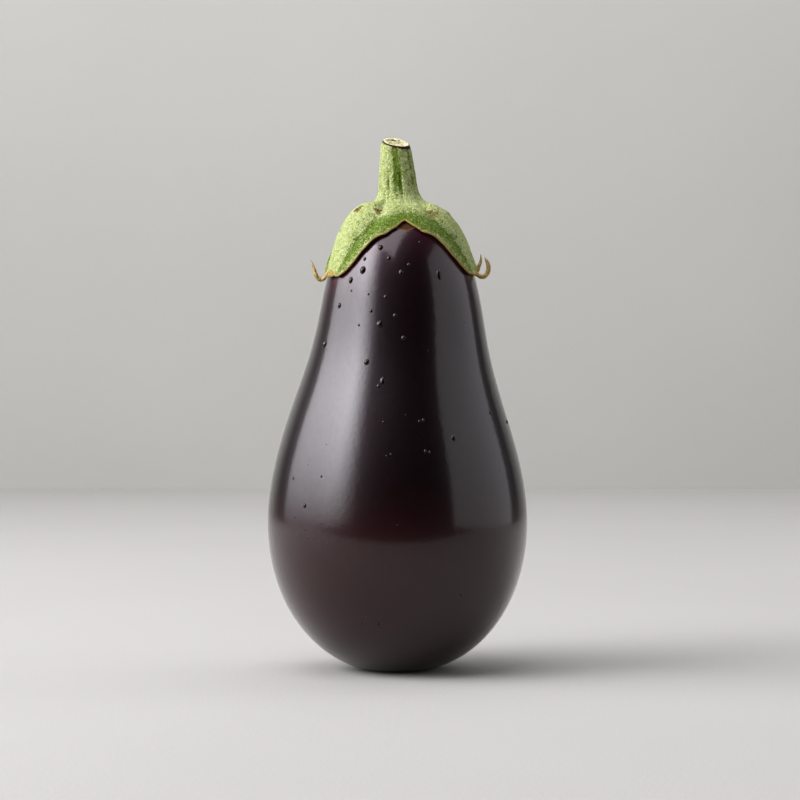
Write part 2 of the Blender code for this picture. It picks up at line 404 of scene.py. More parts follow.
def grid_piece(name, grids, marks, sharp_angle=60):
    """One piece of closed grids (count, rows, columns, 3) whose columns close round.

    Each end of a grid is closed with a fan to the middle of its row. Each mark has one value for
    every place and becomes a float attribute; a fan's middle has the mean of its row.
    """
    count, rows, columns, _ = grids.shape

    def with_middles(values):
        ends = np.stack([values[:, 0].mean(axis=1), values[:, -1].mean(axis=1)], axis=1)
        return np.concatenate([values.reshape(count, -1, *values.shape[3:]), ends], axis=1)

    points = with_middles(grids)
    quads, fans = grid_faces(rows, columns)
    shift = (np.arange(count) * points.shape[1])[:, None, None]
    faces = (quads + shift).reshape(-1, 4).tolist() + (fans + shift).reshape(-1, 3).tolist()
    mesh = bpy.data.meshes.new(name)
    mesh.from_pydata(points.reshape(-1, 3).tolist(), [], faces)
    for label, values in marks.items():
        layer = mesh.attributes.new(label, "FLOAT", "POINT")
        values = with_middles(np.reshape(values, grids.shape[:3]))
        layer.data.foreach_set("value", values.astype(np.float32).ravel())
    mesh.shade_smooth()
    mesh.set_sharp_from_angle(angle=math.radians(sharp_angle))
    piece = bpy.data.objects.new(name, mesh)
    bpy.context.scene.collection.objects.link(piece)
    return piece


# Colours, nodes and materials.


def linear(colour_hex):
    """An sRGB hex colour as linear red, green, blue and alpha."""
    values = np.array([int(colour_hex[i : i + 2], 16) / 255 for i in (1, 3, 5)])
    curved = np.where(values <= 0.04045, values / 12.92, ((values + 0.055) / 1.055) ** 2.4)
    return (*curved.tolist(), 1.0)


def feed(made, inputs):
    """Gives a node's inputs, by socket, a value or a link from another node's output."""
    for key, value in inputs.items():
        if isinstance(value, bpy.types.NodeSocket):
            made.id_data.links.new(value, made.inputs[key])
        else:
            made.inputs[key].default_value = value


def node(tree, kind, inputs=None, output=0, **settings):
    """Adds a node with its settings and its inputs, and returns one of its outputs."""
    made = tree.nodes.new("ShaderNode" + kind)
    for name, value in settings.items():
        setattr(made, name, value)
    feed(made, inputs or {})
    return made.outputs[output]


def new_material(name):
    """An empty material's node tree and its shader."""
    material = bpy.data.materials.new(name)
    material.use_nodes = True
    return material, material.node_tree, material.node_tree.nodes["Principled BSDF"]


MIX_FACTOR, MIX_A, MIX_B = 0, 6, 7
COLOUR_MIX = {"output": 2, "data_type": "RGBA"}


def waxed_skin(settings):
    """Eggplant skin: a near-black epidermis, red where light enters it, under a thin natural wax.

    The wax is a clear coat that gives the soft-edged shine, and the skin under it gives a weaker,
    rougher and redder one. It is paler and more purple where the calyx has kept the light off.
    """
    material, tree, shader = new_material("eggplant_waxed_skin")
    place = node(tree, "TexCoord", output="Object")
    young, ripe, scar = (
        node(tree, "Attribute", output="Fac", attribute_name=mark)
        for mark in ("young", "ripe", "scar")
    )

    # Mottling 12 mm across, crumbs of cork 1 mm across, dimples 2 mm apart and pores 0.5 mm apart.
    mottle, crumbs, dimples, pores = (
        node(tree, "TexNoise", {"Vector": place, "Scale": scale, "Detail": detail})
        for scale, detail in ((80.0, 3.0), (900.0, 5.0), (500.0, 2.0), (2000.0, 2.0))
    )
    # Growth streaks 0.6 mm wide and 25 mm long.
    stretched = node(tree, "Mapping", {"Vector": place, "Scale": (1600.0, 1600.0, 40.0)})
    streaks = node(tree, "TexNoise", {"Vector": stretched, "Scale": 1.0, "Detail": 2.0})

    # The blossom scar is cork, and dull.
    inputs = {MIX_FACTOR: crumbs, MIX_A: linear("#4a3626"), MIX_B: linear("#a58a63")}
    cork = node(tree, "Mix", inputs, **COLOUR_MIX)
    colour = settings.skin_dark
    for share, tone in (
        (mottle, settings.skin_red),
        (ripe, settings.skin_ripe),
        (young, settings.skin_young),
        (scar, cork),
    ):
        inputs = {MIX_FACTOR: share, MIX_A: colour, MIX_B: tone}
        colour = node(tree, "Mix", inputs, **COLOUR_MIX)
    rough = node(tree, "MapRange", {"Value": streaks, "To Min": 0.30, "To Max": 0.40})
    duller = node(tree, "Math", {0: rough, 1: scar}, operation="MAXIMUM")
    inputs = {"Value": streaks, "From Min": 0.3, "From Max": 0.7, "To Min": 0.80}
    wax = node(tree, "MapRange", inputs)
    relief = {}
    for height, depth in ((dimples, 0.026 * MM), (pores, 0.0035 * MM), (streaks, 0.0025 * MM)):
        relief["Normal"] = node(tree, "Bump", {"Height": height, "Distance": depth, **relief})
    inputs = {
        "Base Color": colour,
        "Roughness": duller,
        "IOR": 1.30,
        "Specular Tint": linear("#f6dfe9"),
        "Normal": relief["Normal"],
        "Coat Weight": wax,
        "Coat IOR": 1.37,
        "Coat Roughness": settings.wax_roughness,
        "Coat Normal": relief["Normal"],
    }
    feed(shader, inputs)
    return material


def green_tissue(name, settings, cut=False):
    """Living green tissue under fine down: matt, a little translucent, paler on its ribs.

    Cells 0.4 mm apart and a finer grain show as speckles, and blotches are 1.5 mm across. The
    deeper green of furrows and folds is partly the tissue's own and partly painted shade, and on
    the stem's right side it is painted shade. Edges dry to straw and rubbed spots to brown. On the
    stem, the cut adds a scorched rim, a cream ring and a brown pith.
    """
    material, tree, shader = new_material(name)
    place = node(tree, "TexCoord", output="Object")
    noise = {"Vector": place, "Scale": 3200.0, "Detail": 4.0, "Roughness": 0.65}
    grain = node(tree, "TexNoise", noise)
    noise = {"Vector": place, "Scale": 650.0, "Detail": 3.0, "Roughness": 0.6}
    blotch = node(tree, "TexNoise", noise)
    cells = node(tree, "TexVoronoi", {"Vector": place, "Scale": 2300.0}, feature="SMOOTH_F1")
    speckle = node(tree, "Math", {0: cells, 1: 0.5, 2: grain}, operation="MULTIPLY_ADD")
    ragged = node(tree, "Math", {0: speckle, 1: -0.70}, operation="ADD")
    patchy = node(tree, "Math", {0: blotch, 1: -0.50}, operation="ADD")

    # Each layer has a mark of the piece, how much the speckles and the blotches break its border
    # up, the values between which it fades in, and its colour.
    layers = [
        (None, 1.0, 0.6, -0.26, 0.30, settings.mid_green),
        # The furrow layer's deeper green is partly painted shade in furrows and folds, and painted
        # shade on the stem's right side.
        ("furrow", 2.2, 1.2, 0.10, 1.10, settings.deep_green),
        ("dry", 0.9, 0.9, 0.35, 0.85, settings.straw),
        ("spot", 2.4, 2.4, 0.50, 1.30, linear("#6b5712")),
    ]
    if cut:
        inputs = {"Value": blotch, "From Min": 0.34, "From Max": 0.50}
        woody = node(tree, "MapRange", inputs, interpolation_type="SMOOTHSTEP")
        inputs = {MIX_FACTOR: woody, MIX_A: linear("#5f4d28"), MIX_B: linear("#e3dcae")}
        pith = node(tree, "Mix", inputs, **COLOUR_MIX)
        layers += [
            ("scorch", 0.8, 0.8, 0.30, 0.60, linear("#331a08")),
            ("ring", 0.0, 0.0, 0.30, 0.70, linear("#efe6bd")),
            ("pith", 0.0, 0.0, 0.30, 0.70, pith),
        ]
    colour = settings.pale_green
    for mark, by_speckle, by_blotch, low, high, tone in layers:
        value = 0.0
        if mark:
            value = node(tree, "Attribute", output="Fac", attribute_name=mark)
        for pattern, amount in ((ragged, by_speckle), (patchy, by_blotch)):
            inputs = {0: pattern, 1: amount, 2: value}
            value = node(tree, "Math", inputs, operation="MULTIPLY_ADD")
        inputs = {"Value": value, "From Min": low, "From Max": high}
        share = node(tree, "MapRange", inputs, interpolation_type="SMOOTHSTEP")
        inputs = {MIX_FACTOR: share, MIX_A: colour, MIX_B: tone}
        colour = node(tree, "Mix", inputs, **COLOUR_MIX)

    # The relief is drawn deeper than the real one, so that it shows. Dark cells stand low.
    bumps = node(tree, "Bump", {"Height": ragged, "Distance": -0.9 * MM})
    inputs = {"Height": blotch, "Distance": -2.2 * MM, "Normal": bumps}
    swells = node(tree, "Bump", inputs)
    inputs = {
        "Base Color": colour,
        "Roughness": 0.55,
        "IOR": 1.42,
        "Normal": swells,
        "Subsurface Weight": 0.15,
        "Subsurface Radius": (0.6, 1.0, 0.3),
        "Subsurface Scale": 0.8 * MM,
        "Specular IOR Level": 0.08,
    }
    feed(shader, inputs)
    return material


def dried_sepal(settings):
    """Dried sepal: thin papery straw with brown fibres, darker towards its end. It is matt."""
    material, tree, shader = new_material("dried_sepal")
    place = node(tree, "TexCoord", output="Object")
    along = node(tree, "Attribute", output="Fac", attribute_name="along")
    noise = {"Vector": place, "Scale": 1500.0, "Detail": 4.0, "Roughness": 0.6}
    fibres = node(tree, "TexNoise", noise)
    darker = node(tree, "Math", {0: along, 1: 0.30, 2: fibres}, operation="MULTIPLY_ADD")
    share = node(tree, "MapRange", {"Value": darker, "From Min": 0.50, "From Max": 1.05})
    inputs = {MIX_FACTOR: share, MIX_A: settings.straw, MIX_B: linear("#57421f")}
    colour = node(tree, "Mix", inputs, **COLOUR_MIX)
    relief = node(tree, "Bump", {"Height": fibres, "Distance": 0.15 * MM})
    feed(shader, {"Base Color": colour, "Roughness": 0.6, "IOR": 1.45, "Normal": relief})
    return material


def corky_scar():
    """Cork: the dry brown skin left under a sinus of the calyx, cracked, dull and paler-rimmed."""
    material, tree, shader = new_material("cork_scar")
    place = node(tree, "TexCoord", output="Object")
    rim = node(tree, "Attribute", output="Fac", attribute_name="rim")
    noise = {"Vector": place, "Scale": 1100.0, "Detail": 5.0, "Roughness": 0.65}
    grain = node(tree, "TexNoise", noise)
    inputs = {MIX_FACTOR: grain, MIX_A: linear("#1c0c03"), MIX_B: linear("#543410")}
    brown = node(tree, "Mix", inputs, **COLOUR_MIX)
    inputs = {MIX_FACTOR: rim, MIX_A: brown, MIX_B: linear("#70502a")}
    colour = node(tree, "Mix", inputs, **COLOUR_MIX)
    relief = node(tree, "Bump", {"Height": grain, "Distance": 0.10 * MM})
    inputs = {
        "Base Color": colour,
        "Roughness": 0.75,
        "Specular IOR Level": 0.2,
        "Normal": relief,
    }
    feed(shader, inputs)
    return material


def water_on_skin():
    """Water beads on dark skin: the light that enters a bead is lost in the skin under it.

    So a bead shows the skin's own colour under a smooth surface that gives small bright glints,
    with painted light and shade: it is lighter in its middle and darker at its foot.
    """
    material, tree, shader = new_material("water_on_skin")
    depth = node(tree, "Attribute", output="Fac", attribute_name="depth")
    # Painted light and shade: the depth mark makes the bead lighter in its middle and darker at
    # its foot.
    inputs = {MIX_FACTOR: depth, MIX_A: linear("#050102"), MIX_B: linear("#170609")}
    colour = node(tree, "Mix", inputs, **COLOUR_MIX)
    feed(shader, {"Base Color": colour, "Roughness": 0.03, "IOR": 1.333})
    return material


def lime_plaster(name, colour, settings):
    """Lime plaster, trowelled: matt and pale, with grains 1.5 mm across and faint wide clouds."""
    material, tree, shader = new_material(name)
    place = node(tree, "TexCoord", output="Object")
    clouds = node(tree, "TexNoise", {"Vector": place, "Scale": 5.0, "Detail": 4.0})
    grains = node(tree, "TexNoise", {"Vector": place, "Scale": 700.0, "Detail": 3.0})
    shade = node(tree, "MapRange", {"Value": clouds, "To Min": 0.95, "To Max": 1.03})
    speck = node(tree, "MapRange", {"Value": grains, "To Min": 0.97, "To Max": 1.03})
    both = node(tree, "Math", {0: shade, 1: speck}, operation="MULTIPLY")
    inputs = {
        "Base Color": node(tree, "VectorMath", {0: colour[:3], 3: both}, operation="SCALE"),
        "Roughness": 0.8,
        "Specular IOR Level": 0.3,
        "Normal": node(tree, "Bump", {"Height": grains, "Distance": settings.plaster_relief}),
    }
    feed(shader, inputs)
    return material


# The fruit.


def calyx_segment(azimuth):
    """Where an azimuth stands between a sinus and the lobe beside it.

    Returns the sinus's reach, the lobe's reach, and the share of the way from the sinus (0) to the
    lobe's middle (1).
    """
    turns = np.array(CALYX_TURNS + ((CALYX_TURNS[0][0] + 360, CALYX_TURNS[0][1]),), float)
    start = turns[0, 0]
    azimuth = start + (azimuth - start) % 360
    index = np.clip(np.searchsorted(turns[:, 0], azimuth, side="right") - 1, 0, len(turns) - 2)
    before, after = turns[index], turns[index + 1]
    share = (azimuth - before[..., 0]) / (after[..., 0] - before[..., 0])
    to_lobe = index % 2 == 0
    sinus = np.where(to_lobe, before[..., 1], after[..., 1]) * MM
    lobe = np.where(to_lobe, after[..., 1], before[..., 1]) * MM
    return sinus, lobe, np.where(to_lobe, share, 1 - share)


def lobe_profile(share):
    """How far out the edge is, from 0 at a sinus to 1 at a lobe's tip.

    The sum of a quarter sine wave, which rounds the shoulder, and a smooth step down the side.
    """
    shoulder = np.sin(math.pi / 2 * np.minimum(share / SHOULDER_END, 1.0) ** 1.25)
    side = smooth_step(share, SIDE_START, SIDE_END)
    return SHOULDER_REACH * shoulder + (1 - SHOULDER_REACH) * side


def calyx_edge(azimuth):
    """The reach of the calyx's edge, which wavers a little."""
    sinus, lobe, share = calyx_segment(azimuth)
    smooth = sinus + (lobe - sinus) * lobe_profile(share)
    waver = ripple(EDGE_SEED, azimuth, np.zeros_like(azimuth), EDGE_WAVES)
    return smooth + 0.35 * MM * waver


SWELL_DEPTH = 0.22 * MM
SWELL_WAVES = ((2, 0.30, 1.0), (3, 0.21, 0.8), (5, 0.16, 0.5), (8, 0.11, 0.25))


def unevenness(azimuth, reach):
    """The fruit's slow swells, in metres out from the smooth outline, from below the calyx."""
    fade = smooth_step(reach, 34 * MM, 62 * MM) * (1 - smooth_step(reach, 190 * MM, 215 * MM))
    return SWELL_DEPTH * fade * (ripple(SWELL_SEED, azimuth, reach, SWELL_WAVES) - 0.35)


COLOUR = {"subtype": "COLOR", "size": 4}


class EggplantFruitSettings(bpy.types.PropertyGroup):
    """The fruit's fineness and the colours of its skin."""

    steps: bpy.props.IntProperty(
        name="Steps", description="Faces round the fruit", default=264, min=24
    )
    rings: bpy.props.IntProperty(
        name="Rings", description="Rows of faces down the fruit", default=350, min=24
    )
    skin_dark: bpy.props.FloatVectorProperty(
        name="Dark skin", description="Where almost black", default=linear("#060102"), **COLOUR
    )
    skin_red: bpy.props.FloatVectorProperty(
        name="Red skin", description="Where red shows through", default=linear("#0b0203"), **COLOUR
    )
    skin_ripe: bpy.props.FloatVectorProperty(
        name="Ripe skin", description="Low on the belly", default=linear("#1d0607"), **COLOUR
    )
    skin_young: bpy.props.FloatVectorProperty(
        name="Young skin", description="Beside the calyx", default=linear("#34101f"), **COLOUR
    )
    wax_roughness: bpy.props.FloatProperty(
        name="Wax roughness", description="How soft the shine's edges are", default=0.125
    )


YOUNG_WIDTH = 6.5 * MM
SCAR_INSIDE, SCAR_OUTSIDE = 7.5 * MM, 9.0 * MM
RIPE_BELOW, RIPE_ABOVE = 45 * MM, 72 * MM


class EGGPLANT_OT_fruit(bpy.types.Operator):
    """Makes the fruit's skin, with its flat spot and its blossom scar"""

    bl_idname = "eggplant.fruit"
    bl_label = "Fruit"

    def execute(self, context):
        settings = context.scene.eggplant_fruit
        # The outline is turned round the axis: the angle is the azimuth and the row is the reach.
        azimuth = np.linspace(0, 360, settings.steps, endpoint=False)[None, :]
        reach = np.linspace(0, MERIDIAN_REACH[-1], settings.rings + 1)[1:, None]
        azimuth, reach = np.broadcast_arrays(azimuth, reach)
        places = wrap(azimuth, reach, unevenness(azimuth, reach))
        places[..., 2] = np.maximum(places[..., 2], 0.0)
        from_edge = np.maximum(reach - calyx_edge(azimuth), 0.0)
        from_end = MERIDIAN_REACH[-1] + FRUIT_OUTLINE_MM[-1][0] * MM - reach
        marks = {
            "young": 0.75 * np.exp(-from_edge / YOUNG_WIDTH),
            "ripe": 1 - smooth_step(places[..., 2], RIPE_BELOW, RIPE_ABOVE),
            "scar": 1 - smooth_step(from_end, SCAR_INSIDE, SCAR_OUTSIDE),
        }
        fruit = grid_piece("fruit_skin", places[None], marks, sharp_angle=40)
        fruit.data.materials.append(waxed_skin(settings))
        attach(fruit, "root")
        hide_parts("fruit")
        return {"FINISHED"}


# The calyx.


# The shoulder's radius where the knobs stand, the least thickness that a fold leaves, and a fold's
# half width as a share of its lobe's.
KNOB_CIRCLE = 18 * MM
THINNEST = 0.35 * MM
FOLD_WIDTH = 0.08
LUMP_WAVES = ((11, 0.013, 1.0), (19, 0.009, 0.8), (31, 0.006, 0.6))


def lobe_offset(azimuth, reach):
    """0 on a lobe's midrib and 1 at its edge, where the edge is at this reach."""
    sinus, lobe, share = calyx_segment(azimuth)
    height = np.clip((reach - sinus) / (lobe - sinus), 0.0, 1.0)
    shares = np.linspace(0, SIDE_END, 200)
    edge_share = np.interp(height, lobe_profile(shares), shares)
    return np.clip((1 - share) / (1 - edge_share), 0.0, 1.0)


def fold_offset(share):
    """Where the folds stand from a lobe's midrib (0) to its edge (1), by share of the reach."""
    return 0.40 + 0.25 * share


def calyx_knobs(azimuth, reach):
    """Low knobs on the calyx's shoulder, from 0 between them to 1 on their tops."""
    total = np.zeros(np.broadcast(azimuth, reach).shape)
    for middle, along, size in CALYX_KNOBS:
        around = np.radians(degrees_from(azimuth, middle)) * KNOB_CIRCLE
        total = total + bell(np.hypot(around, reach - along * MM), 0.0, size * MM)
    return total


def calyx_thickness(azimuth, reach, edge, settings):
    """How thick the calyx is: an even sheet, a broad raised midrib and a fold on each side of it.

    With v the offset from the midrib, f the fold's offset and w its width, the midrib is
    exp(-(v / (f - w))^6) and the fold is a bell at v = f that takes some away. They fade in
    past the crown, and the midrib sinks to the sheet towards the lobe's tip. It is low on the
    lobe to the right.
    """
    offset = lobe_offset(azimuth, reach)
    share = reach / edge
    body = smooth_step(reach, 7 * MM, 14 * MM)
    fold_at = fold_offset(share)
    midrib = settings.midrib * np.exp(-((offset / (fold_at - FOLD_WIDTH)) ** 6))
    midrib *= (1 - smooth_step(share, 0.36, 0.85)) * (1 - 0.75 * turned_bell(azimuth, 95, 42))
    fold = -settings.fold_depth * bell(offset, fold_at, FOLD_WIDTH)
    flank = 0.30 * MM * bell(offset, 0.84, 0.13)
    lumps = 0.20 * MM * ripple(LUMP_SEED, azimuth, reach, LUMP_WAVES)
    lumps += KNOB_HEIGHT * calyx_knobs(azimuth, reach)
    relief = body * (midrib + (fold + flank) * (1 - share**5) + lumps * (1 - share**8))
    sheet = settings.sheet + (settings.edge - settings.sheet) * share**4
    return np.maximum(sheet + relief, THINNEST)


def calyx_lift(azimuth, reach, edge):
    """How far the calyx's underside stands off the skin: its dried edge has curled up a little."""
    curl = 0.55 + 0.30 * ripple(CURL_SEED, azimuth, np.zeros_like(azimuth), CURL_WAVES)
    return SKIN_GAP + curl * MM * (reach / edge) ** 8


def stem_at(azimuth, height):
    """Places on the stem's side: its radius at the height, less the furrows at the azimuth."""
    line = natural_spline(np.array(STEM_LINE_MM) * MM, CURVE_STEPS)
    middle = np.interp(height, line[:, 1], line[:, 0])
    radius = np.interp(height, line[:, 1], line[:, 2]) * stem_profile(azimuth, height)
    return turned(middle, radius, azimuth, height)


def furrow_depth(azimuth, height):
    """How deep the stem's furrows are, as a share of its radius. They wander a little."""
    drift = 2.5 * np.cos(height / (7 * MM) + 1.0)
    total = 0.0
    for middle, half_width, depth, start_mm in STEM_FURROWS:
        fade = 1 - smooth_step(height, (start_mm - 5) * MM, start_mm * MM)
        total = total + depth * fade * turned_bell(azimuth, middle + drift, half_width)
    return total


def stem_green(azimuth, height):
    """How deep the stem's green is, from 0 to 1: in its furrows (partly painted shade), in a band
    in front, and on its right (painted shade).
    """
    front = 0.85 * np.exp(-((degrees_from(azimuth, -1.5) / 13) ** 4))
    # Painted shade: the stem's right side, away from the key light, is made a deeper green.
    right = 0.30 * turned_bell(azimuth, 55, 35)
    return np.clip(10 * furrow_depth(azimuth, height) + front + right, 0, 1)


STEM_WAVES = ((3, 0.04, 1.0), (5, 0.02, 0.7), (14, 0.006, 0.5), (22, 0.004, 0.4))


def stem_profile(azimuth, height):
    """The stem's radius round its cross-section, where 1 is its even radius."""
    uneven = 0.018 * ripple(STEM_SEED, azimuth, height, STEM_WAVES)
    return 1.0 + uneven - furrow_depth(azimuth, height)


class EggplantGreenSettings(bpy.types.PropertyGroup):
    """The calyx's and the stem's sizes and colours."""

    columns: bpy.props.IntProperty(
        name="Columns", description="Faces round the calyx", default=480, min=24
    )
    sheet: bpy.props.FloatProperty(
        name="Sheet", description="Thickness between the ribs", unit="LENGTH", default=1.5 * MM
    )
    edge: bpy.props.FloatProperty(
        name="Edge", description="Thickness at the edge", unit="LENGTH", default=0.75 * MM
    )
    midrib: bpy.props.FloatProperty(
        name="Midrib", description="Height of each midrib", unit="LENGTH", default=2.0 * MM
    )
    fold_depth: bpy.props.FloatProperty(
        name="Fold", description="Depth of the folds", unit="LENGTH", default=0.90 * MM
    )
    pale_green: bpy.props.FloatVectorProperty(
        name="Pale green", description="Ribs and cells", default=linear("#ccd29c"), **COLOUR
    )
    mid_green: bpy.props.FloatVectorProperty(
        name="Middle green", description="Between the cells", default=linear("#8ca03c"), **COLOUR
    )
    deep_green: bpy.props.FloatVectorProperty(
        name="Deep green", description="Furrows and folds", default=linear("#57720c"), **COLOUR
    )
    straw: bpy.props.FloatVectorProperty(
        name="Straw", description="Dried edges and tips", default=linear("#b99e5a"), **COLOUR
    )


FILLET_START = 11.5 * MM
FILLET_LEAVE, FILLET_ARRIVE = 1.25, 1.1
FILLET_ROWS, SHEET_ROWS, LIP_ROWS, UNDER_ROWS = 30, 92, 8, 22
DRY_EDGE = 0.5 * MM
DRY_SHARE = 0.85


def calyx_outside(azimuth, reach, edge, settings):
    """The calyx's outer face at an azimuth and a reach."""
    out = calyx_lift(azimuth, reach, edge) + calyx_thickness(azimuth, reach, edge, settings)
    return wrap(azimuth, reach, out)


def crown_fillet(azimuth, edge, settings):
    """The sweep from the stem's foot to the sheet: a cubic that leaves each along its slope."""
    step = 0.2 * MM
    start = stem_at(azimuth, np.full_like(azimuth, STEM_FOOT))
    lower = stem_at(azimuth, np.full_like(azimuth, STEM_FOOT - step))
    reach = np.full_like(azimuth, FILLET_START)
    end = calyx_outside(azimuth, reach, edge, settings)
    past = calyx_outside(azimuth, reach + step, edge, settings)
    span = np.linalg.norm(end - start, axis=-1, keepdims=True)
    leave = (lower - start) / step * span * FILLET_LEAVE
    arrive = (past - end) / step * span * FILLET_ARRIVE
    t = np.linspace(0, 1, FILLET_ROWS, endpoint=False)[:, None, None]
    return (
        (1 + 2 * t) * (1 - t) ** 2 * start
        + t * (1 - t) ** 2 * leave
        + t**2 * (3 - 2 * t) * end
        + t**2 * (t - 1) * arrive
    )


def calyx_marks(azimuth, reach, edge):
    """How much of each mark the calyx shows, from 0 to 1: furrows (partly painted shade), dry edge
    and rubbed spots.
    """
    offset = lobe_offset(azimuth, reach)
    body = smooth_step(reach, 15 * MM, 22 * MM)
    share = reach / edge
    beside = offset - fold_offset(share)
    # Painted shade: the folds and the web between the lobes near the shoulder are made a deeper
    # green where shade falls in them, on top of the tissue's own deeper green. The flanks are made
    # a little deeper too.
    fold = np.where(beside < 0, bell(beside, 0.0, 0.07), bell(beside, 0.0, 0.34))
    fold = 0.85 * fold * body * (1 - 0.4 * smooth_step(share, 0.9, 1.0))
    web = 0.75 * smooth_step(offset, 0.60, 1.0) * bell(reach, 19 * MM, 6 * MM)
    between = 0.20 * body * smooth_step(offset, 0.25, 0.55)
    furrow = np.clip(fold + web + between, 0, 1)
    rim = np.clip(1 - (edge - reach) / DRY_EDGE, 0, 1)
    tip = smooth_step(reach, 38.5 * MM, 41.5 * MM) * (1 - smooth_step(offset, 0.3, 1.0))
    dry = DRY_SHARE * np.maximum(rim, tip)
    return furrow, dry, np.clip(1.4 * calyx_knobs(azimuth, reach), 0, 1.2)


class EGGPLANT_OT_calyx(bpy.types.Operator):
    """Makes the calyx, from the stem's foot over its lobes to their curled edges"""

    bl_idname = "eggplant.calyx"
    bl_label = "Calyx"

    def execute(self, context):
        settings = context.scene.eggplant_green
        azimuth = np.linspace(0, 360, settings.columns, endpoint=False)
        edge = calyx_edge(azimuth)
        fillet = crown_fillet(azimuth, edge, settings)

        # Sheet: the reach runs evenly from the fillet to the edge, over the outer face.
        t = np.linspace(0, 1, SHEET_ROWS)[:, None]
        reach = FILLET_START + (edge - FILLET_START) * t
        round_grid, edge_grid = np.broadcast_arrays(azimuth, edge + 0 * t)
        sheet = calyx_outside(round_grid, reach, edge_grid, settings)

        # Lip: a half circle across the thickness at the edge.
        half = calyx_thickness(azimuth, edge, edge, settings) / 2
        lift = calyx_lift(azimuth, edge, edge)
        angle = np.linspace(0, math.pi, LIP_ROWS + 2)[1:-1, None]
        lip = wrap(azimuth, edge + half * np.sin(angle), lift + half + half * np.cos(angle))

        # Underside: back to near the pole, at the lift over the skin.
        back = np.linspace(1, 0.04, UNDER_ROWS)[:, None] * edge
        under = wrap(azimuth, back, calyx_lift(azimuth, back, edge))
        places = np.concatenate([fillet, sheet, lip, under])

        furrow, dry, spot = calyx_marks(round_grid, reach, edge_grid)
        # The fillet takes the stem's green at its foot. This includes the painted shade on the
        # stem's right side and in its furrows.
        foot = stem_green(azimuth, np.full_like(azimuth, STEM_FOOT))
        fade = np.linspace(1, 0, FILLET_ROWS)[:, None]
        clear = np.zeros((FILLET_ROWS, settings.columns))
        ends = np.ones((LIP_ROWS + UNDER_ROWS, settings.columns))
        marks = {
            "furrow": np.concatenate([foot * fade**1.5, furrow, 0.3 * ends]),
            "dry": np.concatenate([clear, dry, ends]),
            "spot": np.concatenate([clear, spot, 0 * ends]),
        }
        calyx = grid_piece("calyx_cap", places[None], marks, sharp_angle=70)
        calyx.data.materials.append(green_tissue("calyx_green_tissue", settings))
        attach(calyx, "root")
        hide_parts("calyx")
        return {"FINISHED"}


SCAR_COLUMNS, SCAR_ROWS = 48, 20
SCAR_DEGREES, SCAR_LENGTH = 13.5, 3.0 * MM


class EGGPLANT_OT_sinus_scars(bpy.types.Operator):
    """Makes the corky scar on the skin under each sinus of the calyx"""

    bl_idname = "eggplant.sinus_scars"
    bl_label = "Sinus scars"

    def execute(self, context):
        # Each scar is a flat closed patch: from under the calyx's edge out to a rounded end.
        angle = np.linspace(0, 2 * math.pi, SCAR_COLUMNS, endpoint=False)
        t = np.linspace(0.04, 1, SCAR_ROWS)[:, None]
        grids = []
        for middle, sinus_mm in CALYX_TURNS[0::2]:
            scale = 1.0 if middle == CALYX_TURNS[0][0] else 0.55
            wide = SCAR_DEGREES * scale * (1 + 0.05 * np.cos(5 * angle))
            long = SCAR_LENGTH * scale
            long = long * (1 + 0.10 * np.cos(3 * angle + 1) + 0.05 * np.cos(7 * angle))
            azimuth = middle - wide * t * np.cos(angle)
            reach = (sinus_mm + 0.9 * scale) * MM + long * t * np.sin(angle)
            thick = 0.16 * MM * (1 - t**6) + 0.03 * MM + 0.05 * MM * bell(t, 0.9, 0.07)
            top = wrap(azimuth, reach, thick)
            bottom = wrap(azimuth, reach, -0.05 * MM)[::-1]
            grids.append(np.concatenate([top, bottom]))
        rim = np.broadcast_to(bell(t, 0.93, 0.07), (SCAR_ROWS, SCAR_COLUMNS))
        rims = np.tile(np.concatenate([rim, rim[::-1]]), (len(grids), 1, 1))
        scars = grid_piece("sinus_scars", np.array(grids), {"rim": rims})
        scars.data.materials.append(corky_scar())
        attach(scars, "root")
        return {"FINISHED"}


TUBE_SIDES = 16
TUBE_FLATNESS = 0.70
STRAND_RINGS = 60
STRAND_WAVES = ((3, 1e3, 1.0), (7, 1e3, 0.8), (13, 1e3, 0.6))


def swept_tube(middle, radii, side):
    """A closed tube along a path: each ring is middle + r (cos a side + flatness sin a other).

    The side starts as given and is kept square to the path, so that the tube doesn't twist.
    """
    along = np.gradient(middle, axis=0)
    along /= np.linalg.norm(along, axis=1)[:, None]
    side = np.asarray(side, float)[None, :] - along * (along @ np.asarray(side, float))[:, None]
    side /= np.linalg.norm(side, axis=1)[:, None]
    other = TUBE_FLATNESS * np.cross(side, along)
    angle = np.linspace(0, 2 * math.pi, TUBE_SIDES, endpoint=False)[None, :, None]
    across = np.cos(angle) * side[:, None, :] + np.sin(angle) * other[:, None, :]
    return middle[:, None, :] + radii[:, None, None] * across


def beside_skin(azimuth, out, height):
    """Places at a level distance out from the skin, at an azimuth and a height."""
    radius = np.interp(reach_at_height(height), MERIDIAN_REACH, MERIDIAN[:, 0]) + out
    return turned(sway(height), radius, azimuth, height)


def strand(route_mm, seed):
    """One dried strand: a tube on a smooth path, slightly flat, whose thickness wavers."""
    route = np.array(route_mm, float)
    places = beside_skin(route[:, 0], route[:, 1] * MM, route[:, 2] * MM)
    line = natural_spline(np.column_stack([places, route[:, 3] * MM]), STRAND_RINGS)
    wave = ripple(seed, np.linspace(0, 360, STRAND_RINGS), np.zeros(STRAND_RINGS), STRAND_WAVES)
    middle_azimuth = math.radians(route[:, 0].mean())
    side = (math.cos(middle_azimuth), math.sin(middle_azimuth), 0.0)
    radii = np.maximum(line[:, 3], 0.04 * MM) * (1 + 0.14 * wave)
    return swept_tube(line[:, :3], radii, side)


